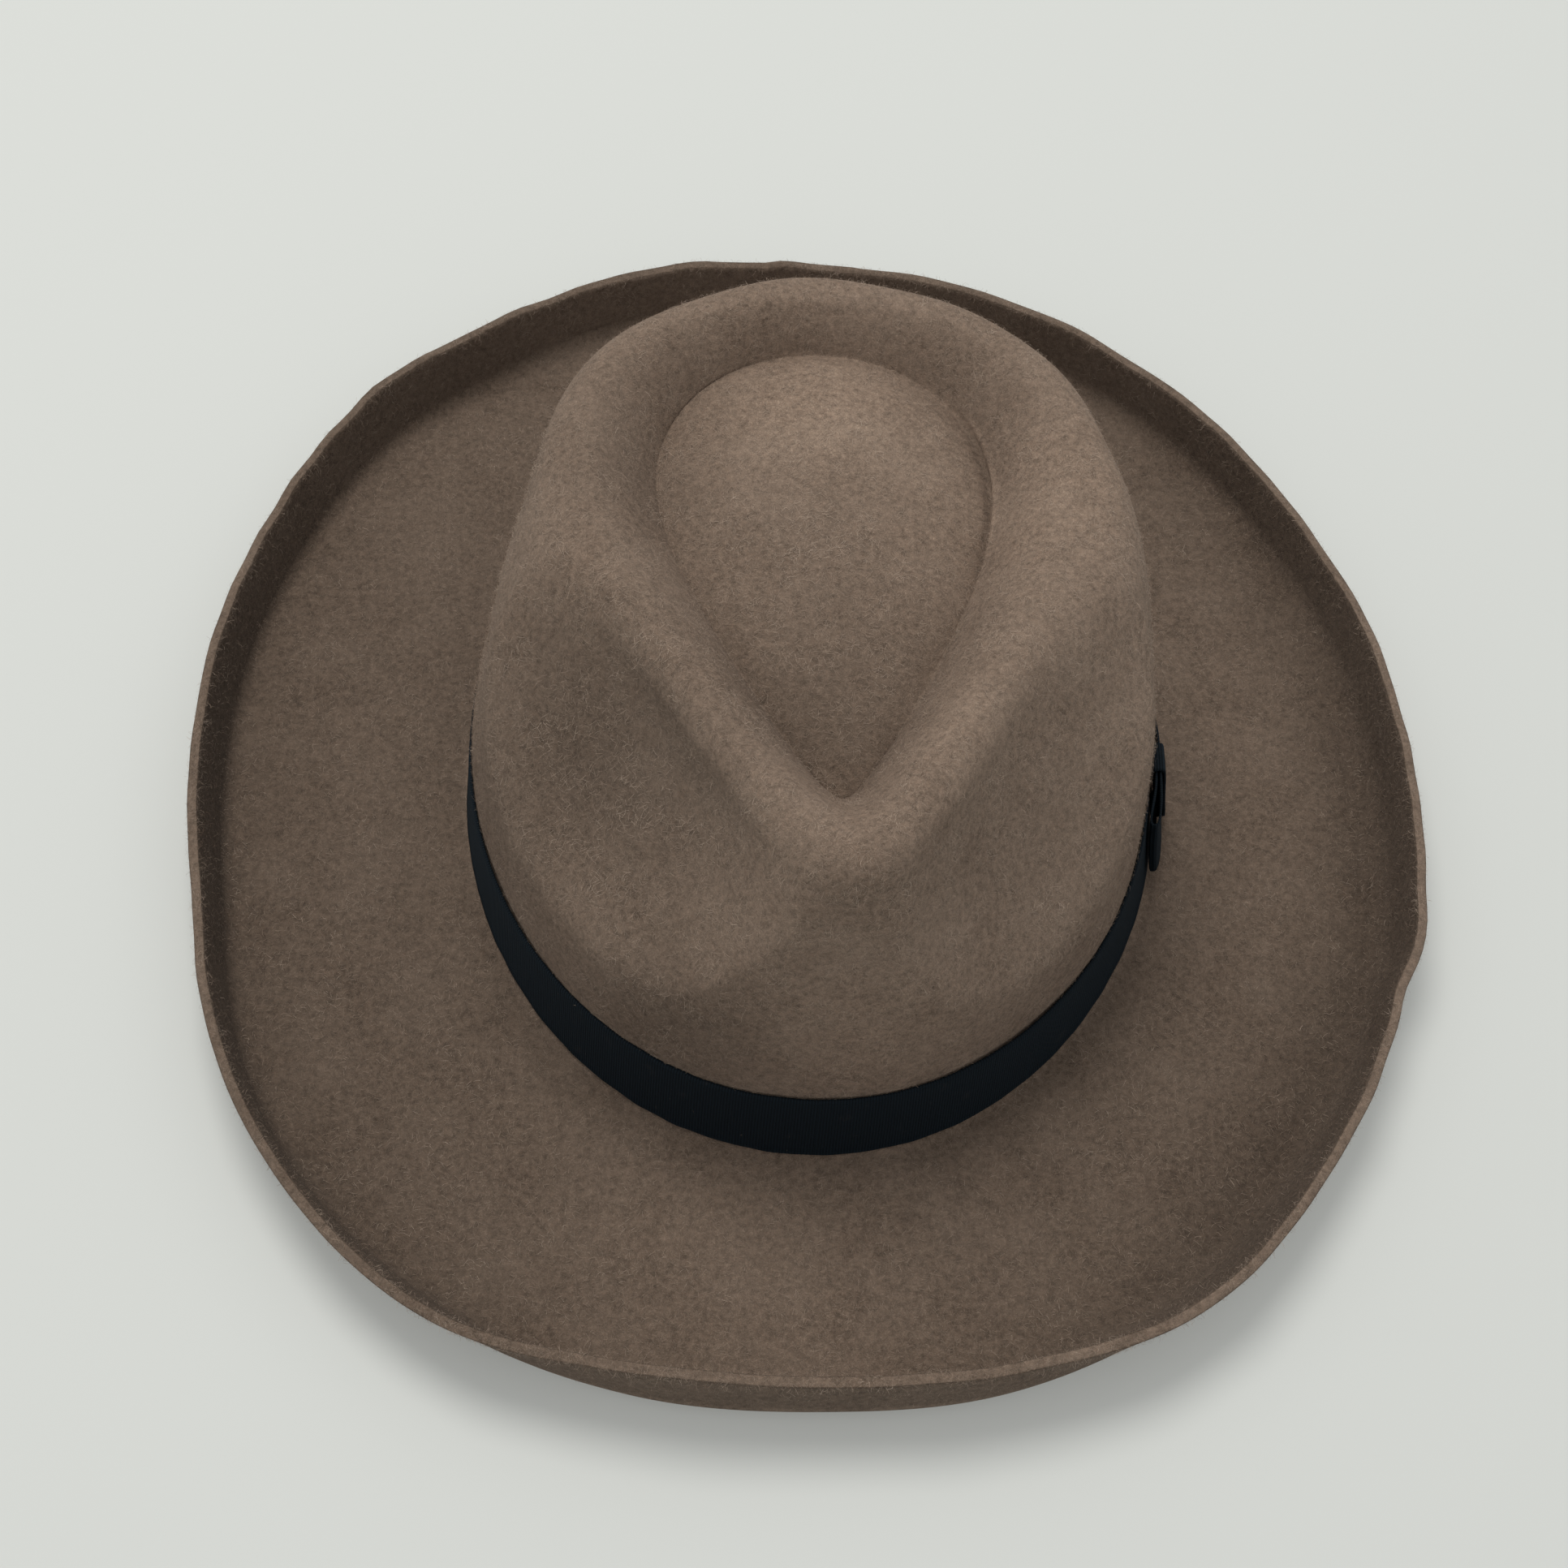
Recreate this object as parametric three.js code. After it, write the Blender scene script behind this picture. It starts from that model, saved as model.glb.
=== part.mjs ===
// Wide-brim felt fedora: one blocked felt body, a ribbon band and a flat side bow.
// Millimetres, +Z up. The flat of the brim rests on z = 0, the front of the hat faces -Y,
// and the bow sits on the +X side, the wearer's left. Pieces are built about the middle of the
// head opening, and the finished group is moved so that its outline is centred on the origin.

import * as THREE from "three";

// Felt
const feltThickness = 2.6;

// Crown, outside of the felt. frontRise: how much higher the front peak stands than the back.
const crownHalfWidth = 86.6;
const crownHalfLength = 103;
const backHeight = 103;
const frontRise = 6;
const frontLean = 9;
const backLean = 4.6;
const sideLean = 5.2;
const brimFillet = 3;

// Roll round the top: plan distance from the foot of the wall in to the crest of the roll
const crestInsetFront = 24.5;
const crestInsetBack = 21;
const crestInsetSide = 28.5;

// Smallest radius of the roll on its outer side, where the pinches cut in under it
const crestRadius = 8;

// Teardrop dent: plan distance from the crest in to the crease
const rollWidthFront = 25.5;
const rollWidthBack = 8.5;
const rollWidthSide = 17.3;

// How round the front point of the teardrop is, from 0 for a sharp point; how straight its sides
// run to that point, from 0 for an ellipse; where it is widest, in degrees from the front; and how
// far its point lies off the middle, towards the wearer's left
const teardropRounding = 0.52;
const teardropTaper = 1.8;
const teardropWidest = 114;
const teardropSway = 3;

// Exponent of the fall from the crest to the crease, 2 for a parabola
const rollFall = 1.7;

// Domed floor of the dent: its top behind the middle of the hat and below the back of the
// crown, how far it falls from there to the crease, and the extra drop of its turned-down edge,
// with the exponent that says how close to the crease that drop begins
const domeSetback = 28;
const domeDrop = 7;
const domeFallFront = 11;
const domeFallBack = 2;
const domeFallSide = 7;
const domeEdgeDrop = 3;
const domeEdgePower = 6;

// Brim and its turned-up lip
const brimWidth = 72;
const lipHeight = 20;
const lipLean = 14;
const foldRadius = 3;

// Ribbon
const ribbonWidth = 24;
const ribbonThickness = 0.8;
const ribbonLift = 1.2;
const fitGap = 0.3;

// Bow, measured along the band from its centre
const bowTurn = 88;
const bowFrontReach = 20;
const bowBackReach = 24;
const bowFrontBulge = 4.6;
const bowBackBulge = 2.1;
const knotWidth = 8;

// How soon a bow loop opens along its length, and how square the ends of the loops and the knot
// are, from 1 for an ellipse down to 0 for a rectangle
const loopOpening = 1.6;
const loopSquareness = 0.5;
const knotSquareness = 0.4;

// Mesh steps. The two crowding exponents draw the loops on the wall up towards the crest.
const meridians = 72;
const frontCrowding = 0.4;
const domeSteps = 5;
const rollSteps = 4;
const wallSteps = 13;
const crestCrowding = 1.5;
const wallCrowding = 0.66;
const filletSteps = 3;
const brimSteps = 2;
const foldSteps = 4;
const ribbonSteps = 4;
const loopSteps = 28;
const knotSteps = 20;

// Front pinches, one on each side of the front, as the wearer has them. start and end: degrees
// round from the front; low: where the dent's lower edge is lowest; rim: height of that edge as
// a share of the crown; depth: how much of the shoulder is pushed in to the crest; ledge: how
// flat the dent starts above its lower edge; fade: how suddenly it ends at the back.
const pinches = {
  right: { start: 6, low: 31, end: 90, rim: 0.5, depth: 0.9, ledge: 1.8, fade: 4 },
  left: { start: 7, low: 32, end: 88, rim: 0.44, depth: 0.8, ledge: 1.5, fade: 2 },
};
const pinchTop = 0.9;
const pinchEdgeSoftness = 0.07;

// Crown sections every 45 degrees from the front round over the wearer's left. rise: share of
// frontRise; shoulder: exponent of the rounded shoulder.
const crownSections = [
  { turn: 0, rise: 1, shoulder: 2.3 },
  { turn: 45, rise: 0.65, shoulder: 2.9 },
  { turn: 90, rise: 0.25, shoulder: 3.6 },
  { turn: 135, rise: 0.05, shoulder: 3.8 },
  { turn: 180, rise: 0, shoulder: 3.1 },
  { turn: 225, rise: 0.05, shoulder: 2.7 },
  { turn: 270, rise: 0.25, shoulder: 2.9 },
  { turn: 315, rise: 0.65, shoulder: 2.7 },
];

// Brim sections every 15 degrees, the same way round. reach: share of brimWidth; rise: share of
// lipHeight; lean: share of lipLean.
const brimSections = [
  { turn: 0, reach: 0.93, rise: 1.16, lean: -0.25 },
  { turn: 15, reach: 0.985, rise: 1.12, lean: 0.05 },
  { turn: 30, reach: 1.045, rise: 1.05, lean: 0.5 },
  { turn: 45, reach: 1.04, rise: 1.0, lean: 0.9 },
  { turn: 60, reach: 1.01, rise: 0.98, lean: 1.0 },
  { turn: 75, reach: 1.01, rise: 0.98, lean: 1.0 },
  { turn: 90, reach: 0.99, rise: 1.0, lean: 1.0 },
  { turn: 105, reach: 0.99, rise: 1.0, lean: 0.9 },
  { turn: 120, reach: 0.98, rise: 1.0, lean: 0.7 },
  { turn: 135, reach: 0.985, rise: 1.0, lean: 0.4 },
  { turn: 150, reach: 0.985, rise: 1.0, lean: 0.3 },
  { turn: 165, reach: 0.98, rise: 1.0, lean: 0.35 },
  { turn: 180, reach: 0.965, rise: 1.0, lean: 0.4 },
  { turn: 195, reach: 1.01, rise: 1.0, lean: 0.5 },
  { turn: 210, reach: 1.01, rise: 1.02, lean: 0.6 },
  { turn: 225, reach: 1.05, rise: 1.02, lean: 0.9 },
  { turn: 240, reach: 1.02, rise: 1.0, lean: 1.0 },
  { turn: 255, reach: 1.0, rise: 1.0, lean: 1.0 },
  { turn: 270, reach: 0.98, rise: 1.0, lean: 1.0 },
  { turn: 285, reach: 0.985, rise: 0.98, lean: 1.0 },
  { turn: 300, reach: 1.05, rise: 0.98, lean: 1.0 },
  { turn: 315, reach: 1.11, rise: 1.0, lean: 0.9 },
  { turn: 330, reach: 1.08, rise: 1.0, lean: 0.6 },
  { turn: 345, reach: 0.99, rise: 1.12, lean: 0.05 },
];

const radians = Math.PI / 180;
const fullTurn = 2 * Math.PI;

const feltMaterial = new THREE.MeshStandardMaterial({ color: 0x6a5648, roughness: 0.95, metalness: 0 });
const ribbonMaterial = new THREE.MeshStandardMaterial({ color: 0x0d1114, roughness: 0.7, metalness: 0 });

function mix(a, b, share) {
  return a + (b - a) * share;
}

function clamp01(value) {
  return Math.min(1, Math.max(0, value));
}

// Degrees from the front, from 0 up to 360
function turnOf(t) {
  return (((t / radians) % 360) + 360) % 360;
}

// Smooth value of one column of a table whose evenly spaced rows go once round the hat
function tableValue(rows, column, turn) {
  const place = (turn / 360) * rows.length;
  const first = Math.floor(place);
  const share = place - first;
  const row = (i) => rows[(i + rows.length) % rows.length][column];
  const [before, start, end, after] = [first - 1, first, first + 1, first + 2].map(row);
  const startSlope = (end - before) / 2;
  const endSlope = (after - start) / 2;
  const eased = share * share * (3 - 2 * share);
  return (
    mix(start, end, eased) +
    startSlope * share * (1 - share) ** 2 -
    endSlope * share ** 2 * (1 - share)
  );
}

// Outline pointed towards the front, round at the back; t = 0 is the front point.
function teardrop(t, halfWidth, front, back) {
  const spread = (angle) =>
    Math.sin(angle) * Math.hypot(Math.sin(angle / 2), teardropRounding) ** teardropTaper;
  const behind = (1 - Math.cos(t)) / 2;
  return new THREE.Vector2(
    (halfWidth * spread(t)) / spread(teardropWidest * radians) + teardropSway * (1 - behind),
    mix(front, back, behind)
  );
}

function crestPoint(t) {
  const plan = teardrop(
    t,
    crownHalfWidth - crestInsetSide,
    -crownHalfLength + crestInsetFront,
    crownHalfLength - crestInsetBack
  );
  const rise = frontRise * tableValue(crownSections, "rise", turnOf(t));
  return new THREE.Vector3(plan.x, plan.y, backHeight + rise);
}

function creasePoint(t) {
  const plan = teardrop(
    t,
    crownHalfWidth - crestInsetSide - rollWidthSide,
    -crownHalfLength + crestInsetFront + rollWidthFront,
    crownHalfLength - crestInsetBack - rollWidthBack
  );
  return new THREE.Vector3(plan.x, plan.y, domeHeight(plan.x, plan.y) - domeEdgeDrop);
}

// Height of the domed floor inside the teardrop dent
function domeHeight(x, y) {
  const side = crownHalfWidth - crestInsetSide - rollWidthSide;
  const front = crownHalfLength - crestInsetFront - rollWidthFront + domeSetback;
  const back = crownHalfLength - crestInsetBack - rollWidthBack - domeSetback;
  const ahead = y - domeSetback;
  const fall = ahead < 0 ? domeFallFront * (ahead / front) ** 2 : domeFallBack * (ahead / back) ** 2;
  return backHeight - domeDrop - fall - domeFallSide * (x / side) ** 2;
}

function outwardDirection(t) {
  return new THREE.Vector2(
    crownHalfWidth * Math.sin(t),
    -crownHalfLength * Math.cos(t)
  ).normalize();
}

// How far a front pinch pushes the wall in towards the crest at this height share
function pinchAt(t, share) {
  const turn = turnOf(t);
  const pinch = turn > 180 ? pinches.right : pinches.left;
  const side = turn > 180 ? 360 - turn : turn;
  if (side <= pinch.start || side >= pinch.end) return { amount: 0, push: 0 };
  const middle = (pinch.start + pinch.end) / 2;
  const across = (side - middle) / (pinch.end - middle);
  const ahead = side < pinch.low;
  const fromLow = (side - pinch.low) / ((ahead ? pinch.start : pinch.end) - pinch.low);
  const rim = mix(pinch.rim, pinchTop, fromLow ** (ahead ? 2 : pinch.fade));
  const aboveRim = (share - rim) / (1 - rim);
  const rise = clamp01((aboveRim + Math.hypot(aboveRim, pinchEdgeSoftness)) / 2);
  const fade = across > 0 ? across ** pinch.fade : across ** 2;
  return {
    amount: pinch.depth * (1 - fade),
    push: 1 - (1 - rise) ** pinch.ledge,
  };
}

// Outer face of the crown wall. share is the height from the brim (0) to the crest (1)
function wallPoint(t, share) {
  const crest = crestPoint(t);
  const back = (1 - Math.cos(t)) / 2;
  const endLean = mix(frontLean, backLean, back);
  const shoulder = tableValue(crownSections, "shoulder", turnOf(t));
  const boxy = 1 - (1 - share ** shoulder) ** (1 / shoulder);
  const pinch = pinchAt(t, share);
  const footX = (crownHalfWidth - sideLean * share) * Math.sin(t);
  const footY = -(crownHalfLength - endLean * share) * Math.cos(t);
  const height = mix(feltThickness, crest.z, share);
  const run = Math.hypot(footX - crest.x, footY - crest.y);
  const away = run * (1 - mix(boxy, pinch.push, pinch.amount));
  const belowCrest = clamp01((crest.z - height) / crestRadius);
  const round = crestRadius * Math.sqrt(1 - (1 - belowCrest) ** 2);
  const inward = 1 - Math.min(1, (away ** 4 + round ** 4) ** 0.25 / run);
  const low = clamp01(1 - (height - feltThickness) / brimFillet);
  const flare = brimFillet * (1 - Math.sqrt(1 - low * low));
  const outward = outwardDirection(t);
  return new THREE.Vector3(
    mix(footX, crest.x, inward) + outward.x * flare,
    mix(footY, crest.y, inward) + outward.y * flare,
    height
  );
}

function shareOfHeight(t, height) {
  return (height - feltThickness) / (crestPoint(t).z - feltThickness);
}

// Dent from its centre (0) out to the crease (1), and from there up to the crest (2)
function topPoint(t, s) {
  const crest = crestPoint(t);
  const crease = creasePoint(t);
  if (s <= 1) {
    const floor = new THREE.Vector3(0, domeSetback, 0).lerp(crease, s);
    return floor.setZ(domeHeight(floor.x, floor.y) - domeEdgeDrop * s ** domeEdgePower);
  }
  const share = 2 - s;
  const height = crest.z - (crest.z - crease.z) * share ** rollFall;
  return crest.lerp(crease, share).setZ(height);
}

// Whole outside of the crown, from the centre of the dent (0) over the crest (2) to the brim (4)
function crownPoint(t, s) {
  if (s <= 2) return topPoint(t, Math.max(s, 0));
  const filletTop = shareOfHeight(t, feltThickness + brimFillet);
  if (s <= 3) {
    const angle = ((3 - s) ** crestCrowding * Math.PI) / 2;
    return wallPoint(t, mix(filletTop, 1, Math.sin(angle) ** wallCrowding));
  }
  const angle = (Math.min(s, 4) - 3) * (Math.PI / 2);
  return wallPoint(t, filletTop * (1 - Math.sin(angle)));
}

function surfaceNormal(point, t, s) {
  const step = 0.02;
  const alongTurn = point(t + step, s).sub(point(t - step, s));
  const alongProfile = point(t, s + step).sub(point(t, s - step));
  return alongProfile.cross(alongTurn).normalize();
}

// Outer and inner felt point of the crown
function crownPair(t, s) {
  const outer = crownPoint(t, s);
  const inner = outer.clone().addScaledVector(surfaceNormal(crownPoint, t, s), -feltThickness);
  return { outer, inner };
}

// Sizes of the brim in the upright plane through the centre of the hat
function brimSection(t) {
  const outward = outwardDirection(t);
  const turn = turnOf(Math.atan2(outward.x, -outward.y));
  const foot = wallPoint(t, 0);
  const footReach = Math.hypot(foot.x, foot.y);
  const lean = tableValue(brimSections, "lean", turn) * lipLean * radians;
  const height = tableValue(brimSections, "rise", turn) * lipHeight;
  const reach = footReach - brimFillet + brimWidth * tableValue(brimSections, "reach", turn);
  const outerRadius = foldRadius + feltThickness;
  const lipLength = (height - outerRadius + outerRadius * Math.sin(lean)) / Math.cos(lean);
  const foldCentre = reach - outerRadius * Math.cos(lean) - lipLength * Math.sin(lean);
  return { outward, footReach, lean, reach, height, foldCentre, outerRadius };
}

function onSection(section, reach, height) {
  return new THREE.Vector3(section.outward.x * reach, section.outward.y * reach, height);
}

// Upper and lower felt point of the flat brim
function brimPair(t, share) {
  const section = brimSection(t);
  const reach = mix(section.footReach, section.foldCentre, share);
  return {
    outer: onSection(section, reach, feltThickness),
    inner: onSection(section, reach, 0),
  };
}

// The fold from the flat brim (0) up into the lip (1)
function foldPair(t, share) {
  const section = brimSection(t);
  const angle = (Math.PI / 2 - section.lean) * share;
  const at = (radius) =>
    onSection(
      section,
      section.foldCentre + radius * Math.sin(angle),
      section.outerRadius - radius * Math.cos(angle)
    );
  return { outer: at(foldRadius), inner: at(section.outerRadius) };
}

// The cut edge of the lip
function lipPair(t) {
  const section = brimSection(t);
  return {
    outer: onSection(
      section,
      section.reach - feltThickness * Math.cos(section.lean),
      section.height + feltThickness * Math.sin(section.lean)
    ),
    inner: onSection(section, section.reach, section.height),
  };
}

function turns(count) {
  return Array.from({ length: count }, (_, i) => (i * fullTurn) / count);
}

// Turns of the lines that run down the crown, closer together round the front
const meridianTurns = turns(meridians).map((u) => u - frontCrowding * Math.sin(u));

function steps(count, from = 1) {
  return Array.from({ length: count + 1 - from }, (_, i) => (i + from) / count);
}

// Closed body from loops of points that follow each other; with caps the first and last loop
// are closed by a fan to their own centre, and without caps the last loop joins the first.
function bodyFromLoops(loops, caps) {
  const size = loops[0].length;
  const positions = loops.flat().flatMap((p) => [p.x, p.y, p.z]);
  const indices = [];
  const links = caps ? loops.length - 1 : loops.length;
  for (let i = 0; i < links; i += 1) {
    const a = i * size;
    const b = ((i + 1) % loops.length) * size;
    for (let j = 0; j < size; j += 1) {
      const k = (j + 1) % size;
      indices.push(a + j, b + j, b + k, a + j, b + k, a + k);
    }
  }
  if (caps) {
    const last = (loops.length - 1) * size;
    const first = positions.length / 3;
    positions.push(caps.start.x, caps.start.y, caps.start.z, caps.end.x, caps.end.y, caps.end.z);
    for (let j = 0; j < size; j += 1) {
      const k = (j + 1) % size;
      indices.push(first, j, k);
      indices.push(first + 1, last + k, last + j);
    }
  }
  const geometry = new THREE.BufferGeometry();
  geometry.setAttribute("position", new THREE.Float32BufferAttribute(positions, 3));
  geometry.setIndex(indices);
  geometry.computeVertexNormals();
  return geometry;
}

function feltBody() {
  const stations = [
    ...steps(domeSteps).map((s) => (t) => crownPair(t, s)),
    ...steps(rollSteps).map((s) => (t) => crownPair(t, 1 + s)),
    ...steps(wallSteps).map((s) => (t) => crownPair(t, 2 + s)),
    ...steps(filletSteps).slice(0, -1).map((s) => (t) => crownPair(t, 3 + s)),
    ...steps(brimSteps, 0).map((s) => (t) => brimPair(t, s)),
    ...steps(foldSteps).map((s) => (t) => foldPair(t, s)),
    lipPair,
  ];
  const rings = stations.map((station) => meridianTurns.map(station));
  const outside = rings.map((ring) => ring.map((pair) => pair.outer));
  const inside = rings.map((ring) => ring.map((pair) => pair.inner)).reverse();
  const centre = crownPoint(0, 0);
  const caps = { start: centre, end: centre.clone().setZ(centre.z - feltThickness) };
  return bodyFromLoops([...outside, ...inside], caps);
}

// A point beside the crown wall: turn, height above the floor and distance off the felt
function offWall(t, height, distance) {
  const wallAt = (turn, level) => wallPoint(turn, shareOfHeight(turn, level));
  const normal = surfaceNormal(wallAt, t, height).negate();
  return wallAt(t, height).addScaledVector(normal, distance);
}

const ribbonFoot = feltThickness + ribbonLift;
const ribbonOuter = fitGap + ribbonThickness;
const bowFoot = ribbonFoot + ribbonThickness + fitGap;
const bowTop = ribbonFoot + ribbonWidth - ribbonThickness - fitGap;

function ribbonBand() {
  const heights = steps(ribbonSteps, 0).map((share) => ribbonFoot + share * ribbonWidth);
  const loopAt = (height, distance) => meridianTurns.map((t) => offWall(t, height, distance));
  const face = heights.map((height) => loopAt(height, ribbonOuter)).reverse();
  const back = heights.map((height) => loopAt(height, fitGap));
  return bodyFromLoops([...face, ...back], null);
}

// A point beside the band: distance along it from the bow's centre, height and distance off it
function besideBand(along, height, distance) {
  const centre = bowTurn * radians;
  const pace = Math.hypot(crownHalfWidth * Math.cos(centre), crownHalfLength * Math.sin(centre));
  return offWall(centre + along / pace, height, ribbonOuter + distance);
}

// Sine or cosine of an angle, brought nearer to 1 or -1 so that a round outline turns square
function squared(value, squareness) {
  return Math.sign(value) * Math.abs(value) ** squareness;
}

// One loop of ribbon that leaves the centre of the bow, folds round its end and comes back
function bowLoop(direction, reach, bulge) {
  const stack = 2 * ribbonThickness + fitGap;
  const length = reach - fitGap;
  const loopAt = (height, inset) =>
    turns(loopSteps).map((angle) => {
      const share = (1 + Math.cos(angle)) / 2;
      const opening = Math.sin((Math.min(1, share * loopOpening) * Math.PI) / 2) ** 2;
      const thickness = mix(stack, bulge, opening);
      const seat = mix(ribbonThickness + 2 * fitGap, fitGap, opening);
      const along = fitGap + mix(inset, length - inset, share);
      const belly = squared(Math.sin(angle), loopSquareness);
      const distance = seat + thickness / 2 + (thickness / 2 - inset) * belly;
      return besideBand(direction * along, height, distance);
    });
  const loops = [
    loopAt(bowFoot, 0),
    loopAt(bowTop, 0),
    loopAt(bowTop, ribbonThickness),
    loopAt(bowFoot, ribbonThickness),
  ];
  return bodyFromLoops(direction > 0 ? loops : loops.reverse(), null);
}

// The short wrap that holds both loops together at the centre of the bow
function bowKnot() {
  const stack = 2 * ribbonThickness + fitGap;
  const halfDepth = stack / 2 + fitGap + ribbonThickness;
  const halfHeight = ribbonWidth / 2;
  const loopAt = (along, inset) =>
    turns(knotSteps).map((angle) => {
      const out = squared(Math.cos(angle), knotSquareness);
      const up = squared(Math.sin(angle), knotSquareness);
      const height = ribbonFoot + halfHeight + (halfHeight - inset) * up;
      return besideBand(along, height, fitGap + halfDepth + (halfDepth - inset) * out);
    });
  const half = knotWidth / 2;
  return bodyFromLoops(
    [loopAt(-half, 0), loopAt(half, 0), loopAt(half, ribbonThickness), loopAt(-half, ribbonThickness)],
    null
  );
}

const group = new THREE.Group();

function addPiece(name, geometry, material) {
  const mesh = new THREE.Mesh(geometry, material);
  mesh.name = name;
  group.add(mesh);
}

addPiece("felt_body", feltBody(), feltMaterial);
addPiece("ribbon_band", ribbonBand(), ribbonMaterial);
addPiece("bow_front_loop", bowLoop(-1, bowFrontReach, bowFrontBulge), ribbonMaterial);
addPiece("bow_back_loop", bowLoop(1, bowBackReach, bowBackBulge), ribbonMaterial);
addPiece("bow_knot", bowKnot(), ribbonMaterial);

const middle = new THREE.Box3().setFromObject(group).getCenter(new THREE.Vector3());
group.position.set(-middle.x, -middle.y, 0);

export default group;
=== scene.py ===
"""Wide-brim felt fedora standing on a pale floor: fine shape, finishes, light and camera.

The shape functions repeat the sizes of the CAD source, in millimetres, round the middle of the
head opening. Meshes are made in metres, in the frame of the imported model.
"""

import math

import bpy
import numpy as np
from mathutils import Matrix, Vector


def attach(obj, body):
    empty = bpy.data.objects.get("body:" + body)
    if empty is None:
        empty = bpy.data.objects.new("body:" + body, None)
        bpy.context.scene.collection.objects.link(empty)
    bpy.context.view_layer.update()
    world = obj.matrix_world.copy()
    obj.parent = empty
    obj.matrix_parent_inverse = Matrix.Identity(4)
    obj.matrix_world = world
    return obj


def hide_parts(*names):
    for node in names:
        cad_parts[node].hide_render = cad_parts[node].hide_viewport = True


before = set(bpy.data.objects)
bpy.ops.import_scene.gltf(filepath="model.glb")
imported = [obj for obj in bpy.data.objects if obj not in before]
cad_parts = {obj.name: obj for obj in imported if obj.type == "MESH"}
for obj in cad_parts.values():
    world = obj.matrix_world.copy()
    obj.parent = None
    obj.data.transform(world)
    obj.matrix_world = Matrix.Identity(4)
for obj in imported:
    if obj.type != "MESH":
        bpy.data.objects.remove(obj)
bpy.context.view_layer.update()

MM = 0.001

# Felt
FELT_THICKNESS = 2.6

# Crown, outside of the felt
CROWN_HALF_WIDTH = 86.6
CROWN_HALF_LENGTH = 103.0
BACK_HEIGHT = 103.0
FRONT_RISE = 6.0
FRONT_LEAN = 9.0
BACK_LEAN = 4.6
SIDE_LEAN = 5.2
BRIM_FILLET = 3.0

# Roll round the top, and the teardrop dent inside it
CREST_INSET_FRONT = 24.5
CREST_INSET_BACK = 21.0
CREST_INSET_SIDE = 28.5
CREST_RADIUS = 8.0
ROLL_WIDTH_FRONT = 25.5
ROLL_WIDTH_BACK = 8.5
ROLL_WIDTH_SIDE = 17.3
ROLL_FALL = 1.7
TEARDROP_ROUNDING = 0.52
TEARDROP_TAPER = 1.8
TEARDROP_WIDEST = math.radians(114)
TEARDROP_SWAY = 3.0
DOME_SETBACK = 28.0
DOME_DROP = 7.0
DOME_FALL_FRONT = 11.0
DOME_FALL_BACK = 2.0
DOME_FALL_SIDE = 7.0
DOME_EDGE_DROP = 3.0
DOME_EDGE_POWER = 6

# Brim and its turned-up lip
BRIM_WIDTH = 72.0
LIP_HEIGHT = 20.0
LIP_LEAN = 14.0
FOLD_RADIUS = 3.0

# Ribbon and bow
RIBBON_WIDTH = 24.0
RIBBON_THICKNESS = 0.8
RIBBON_LIFT = 1.2
FIT_GAP = 0.3
BOW_TURN = 88.0
BOW_FRONT_REACH = 20.0
BOW_BACK_REACH = 24.0
BOW_FRONT_BULGE = 3.3
BOW_BACK_BULGE = 2.1
KNOT_WIDTH = 8.0

# Front pinches: from and to degrees round from the front, lowest place of the lower edge, its
# height as a share of the crown, depth, how flat the dent starts above that edge, and how
# suddenly it fades at its back end
PINCHES = {
    "right": {"start": 6, "low": 31, "end": 90, "rim": 0.5, "depth": 0.9, "ledge": 1.8, "fade": 4},
    "left": {"start": 7, "low": 32, "end": 88, "rim": 0.44, "depth": 0.8, "ledge": 1.5, "fade": 2},
}
PINCH_TOP = 0.9
PINCH_EDGE_SOFTNESS = 0.07

# Crown sections every 45 degrees from the front round over the wearer's left
FRONT_SHARE = (1, 0.65, 0.25, 0.05, 0, 0.05, 0.25, 0.65)
SHOULDER = (2.3, 2.9, 3.6, 3.8, 3.1, 2.7, 2.9, 2.7)

# Extra spread of the foot of the crown at those sections, in millimetres, and how high it reaches
FOOT_SPREAD = (0, 0.7, 3.2, 0.8, 0, 0, 0, 0)
FOOT_SPREAD_HEIGHT = 40.0

# Softness of the fold between brim and lip at those sections, as a multiple of its radius
FOLD_SOFTNESS = (2.2, 2.6, 2.8, 1.6, 1.1, 1.1, 1.3, 1.8)

# Brim sections every 15 degrees, the same way round: share of the brim width, share of the lip
# height, share of the lip lean
REACH = (
    0.92, 0.972, 1.055, 1.03, 1.01, 1.01, 0.99, 0.99, 0.98, 0.985, 0.985, 0.98,
    0.965, 1.01, 1.01, 1.05, 1.02, 1.0, 0.98, 0.985, 1.06, 1.1, 1.095, 0.974,
)
RISE = (
    1.19, 1.18, 1.08, 1.0, 0.98, 0.98, 1.0, 1.0, 1.0, 1.0, 1.0, 1.0,
    1.0, 1.0, 1.02, 1.02, 1.0, 1.0, 1.0, 0.98, 0.98, 1.0, 1.08, 1.18,
)
LEAN = (
    0.0, 0.3, 1.5, 1.3, 1.0, 1.0, 1.0, 0.9, 0.7, 0.4, 0.3, 0.35,
    0.4, 0.5, 0.6, 0.9, 1.0, 1.0, 1.0, 1.0, 1.0, 1.2, 1.5, 0.25,
)

# Kinks of the brim's edge: turn and half length in degrees, change of its reach
EDGE_KINKS = ((71.0, 3.0, 1.1), (65.5, 2.4, -0.9))

# Photograph
PHOTO_SIDE = 1932
CAMERA_HEIGHT_ANGLE = math.radians(57.5)
CAMERA_TURN = 0.11
CAMERA_ROLL = 0.105
CAMERA_DISTANCE = 700.0
FOCAL_PIXELS = 3274.6
HAT_PIXEL = (990.1, 984.5)
SENSOR_WIDTH = 36.0

FULL_TURN = 2 * math.pi


# Shape of the hat

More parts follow.
